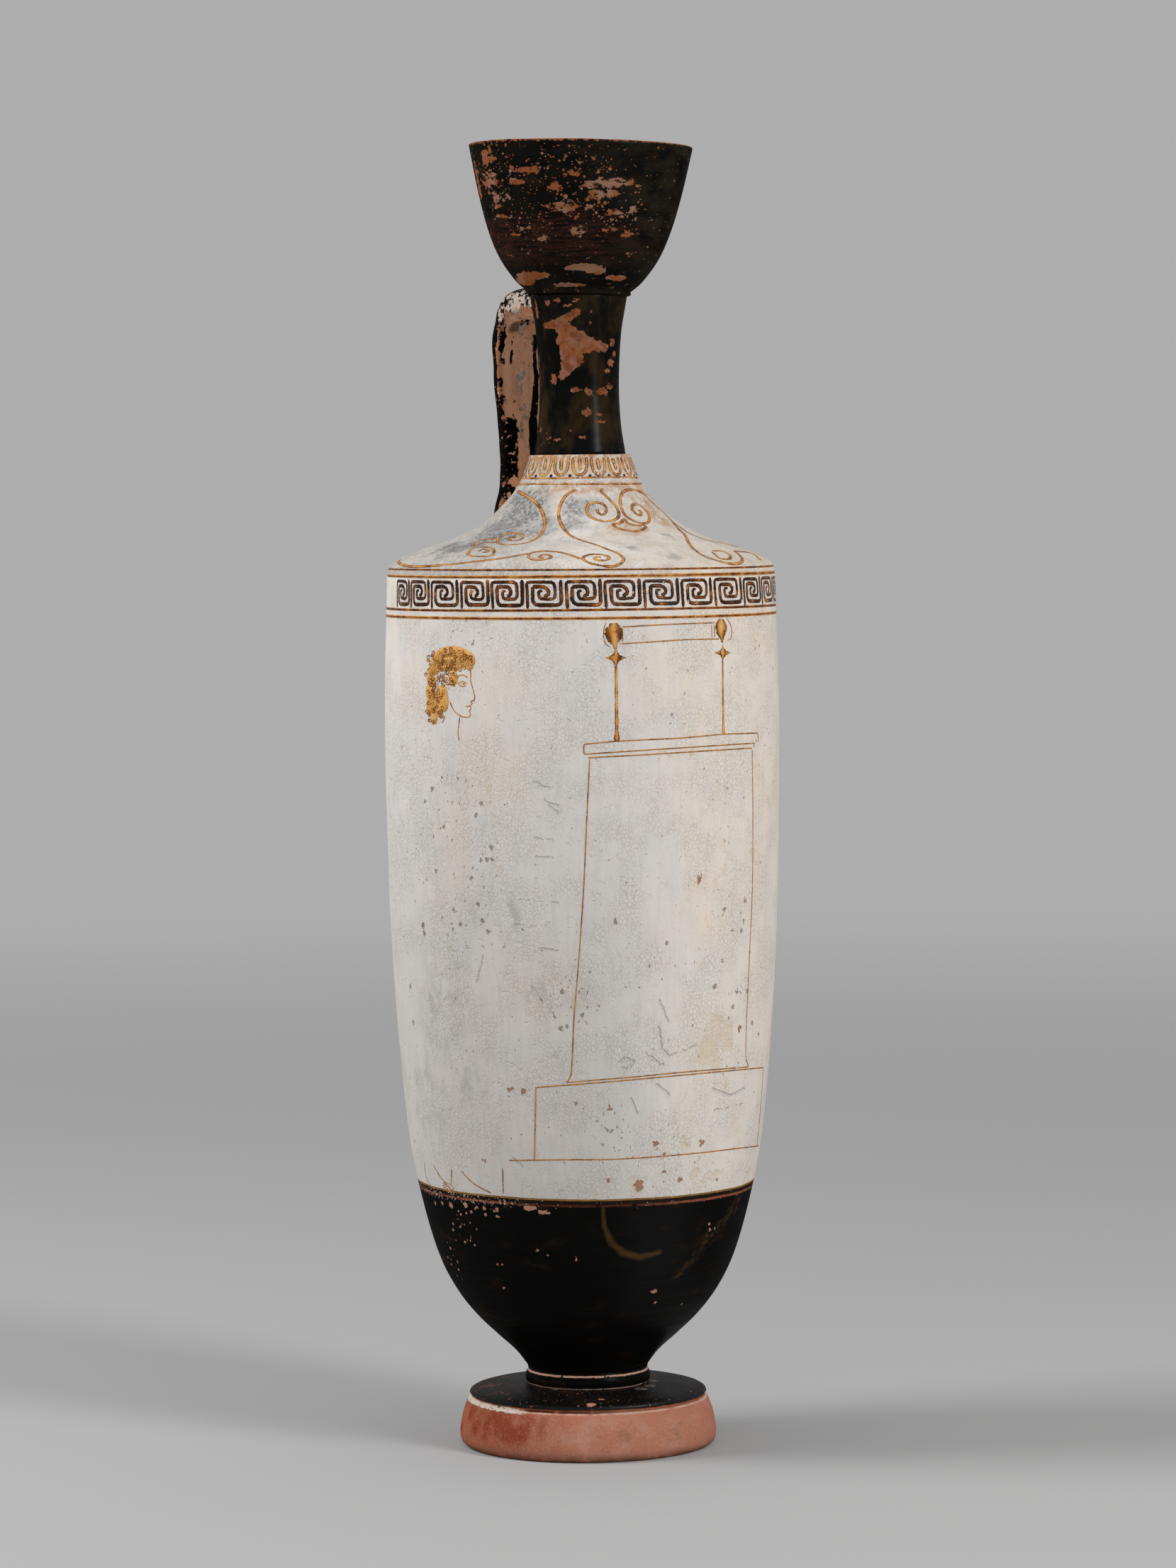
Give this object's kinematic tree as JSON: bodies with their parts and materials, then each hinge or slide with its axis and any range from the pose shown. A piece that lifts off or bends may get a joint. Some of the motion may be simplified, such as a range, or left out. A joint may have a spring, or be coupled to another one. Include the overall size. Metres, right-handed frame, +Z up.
{
  "type": "lekythos",
  "caption": "Tall shouldered oil flask of fired clay with a deep cup mouth, narrow neck, strap handle, cylindrical painted body and broad disc foot.",
  "frame": {"origin": "centre of the foot's resting ring, on the plane that the flask stands on", "axes": "+Z up along the vessel's axis, handle at +Y, painted front faces -Y"},
  "size_m": [0.1168, 0.1168, 0.3858],
  "materials": {
    "black_glaze": "gloss",
    "white_slip": "satin",
    "fired_clay": "matte"
  },
  "bodies": {
    "root": {"foot": "black_glaze", "foot_fillet": "black_glaze", "body": "white_slip", "shoulder": "white_slip", "neck": "black_glaze", "mouth": "black_glaze", "handle": "fired_clay", "inner_vessel": "fired_clay"}
  },
  "joints": []
}
